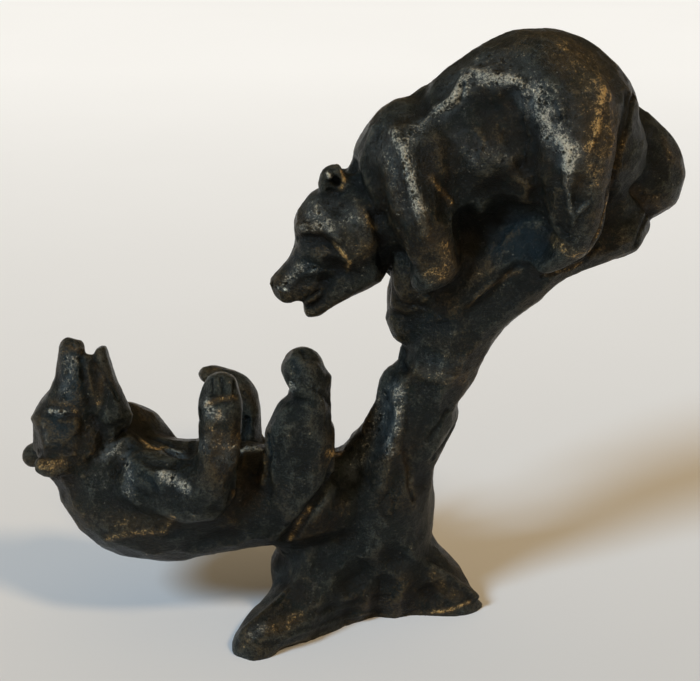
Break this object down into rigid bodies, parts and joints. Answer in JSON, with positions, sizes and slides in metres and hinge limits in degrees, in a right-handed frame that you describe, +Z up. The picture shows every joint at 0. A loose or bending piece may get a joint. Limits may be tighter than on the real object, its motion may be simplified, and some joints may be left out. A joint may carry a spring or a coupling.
{
  "type": "bronze bear sculpture",
  "caption": "Small cast bronze of bears at play: one crouches head down on a leaning tree trunk, the other hangs out on its back from the trunk's foot with its paws up.",
  "frame": {"origin": "under the middle of the outline, on the surface that the casting stands on", "axes": "+X from the lower bear's head towards the upper bear's rump, +Y away from the side that the picture shows, +Z up"},
  "size_m": [0.127, 0.0468, 0.1174],
  "materials": {
    "bronze": "cast bronze with a near-black brown-green patina, satin to glossy, worn to warm brown and gold on the ridges, finely pitted and scratched by hand"
  },
  "bodies": {
    "root": {"bears_on_trunk": "bronze"}
  },
  "joints": []
}
